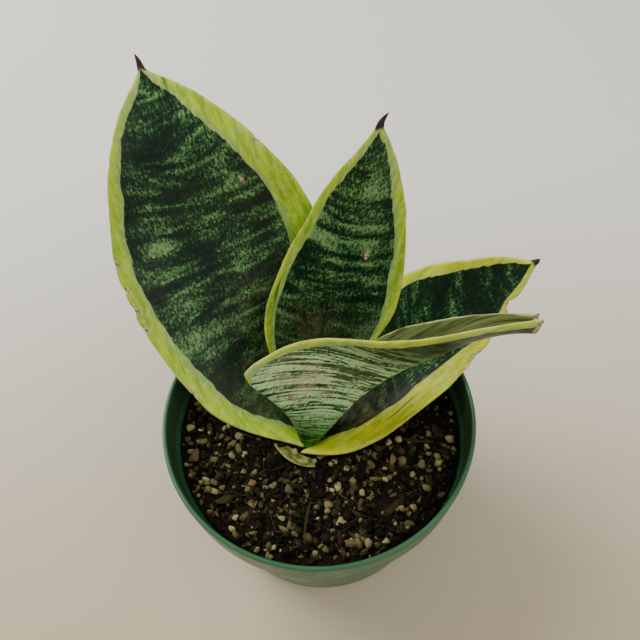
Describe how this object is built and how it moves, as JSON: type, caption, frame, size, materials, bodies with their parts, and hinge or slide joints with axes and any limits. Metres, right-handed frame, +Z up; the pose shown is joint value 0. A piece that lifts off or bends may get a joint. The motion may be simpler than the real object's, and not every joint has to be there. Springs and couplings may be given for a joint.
{
  "type": "potted snake plant",
  "caption": "Young bird's nest snake plant with broad variegated leaves round one crown, in a round tapered green grow pot with a rolled collar and gritty potting mix.",
  "frame": {"origin": "middle of the pot's flat underside, on the pot's own axis", "axes": "+Z up along the pot's axis, -Y towards the side where the large leaf's and the right leaf's margins meet at the front of the crown, +X towards the right leaf"},
  "size_m": [0.1337, 0.1255, 0.1525],
  "materials": {
    "pot_plastic": "moulded, semi-gloss",
    "peat_mix": "loose, matt, moist",
    "live_leaf": "waxy, satin",
    "dried_sheath": "dry, satin",
    "rhizome_skin": "matt",
    "perlite_grain": "porous, matt",
    "grit_grain": "matt",
    "bark_wood": "rough, matt"
  },
  "bodies": {
    "root": {"bark_chip_01": "bark_wood", "bark_chip_02": "bark_wood", "bark_chip_03": "bark_wood", "bark_chip_04": "bark_wood", "bark_chip_05": "bark_wood", "bark_chip_06": "bark_wood", "bark_chip_07": "bark_wood", "bark_chip_08": "bark_wood", "basal_sheath": "dried_sheath", "crown": "rhizome_skin", "grit_stone_01": "grit_grain", "grit_stone_02": "grit_grain", "grit_stone_03": "grit_grain", "grit_stone_04": "grit_grain", "leaf_centre": "live_leaf", "leaf_front_folded": "live_leaf", "leaf_left_large": "live_leaf", "leaf_right": "live_leaf", "perlite_01": "perlite_grain", "perlite_02": "perlite_grain", "perlite_03": "perlite_grain", "perlite_04": "perlite_grain", "perlite_05": "perlite_grain", "perlite_06": "perlite_grain", "perlite_07": "perlite_grain", "perlite_08": "perlite_grain", "perlite_09": "perlite_grain", "perlite_10": "perlite_grain", "perlite_11": "perlite_grain", "perlite_12": "perlite_grain", "pot": "pot_plastic", "potting_mix": "peat_mix", "twig_01": "bark_wood", "twig_02": "bark_wood", "twig_03": "bark_wood"}
  },
  "joints": []
}
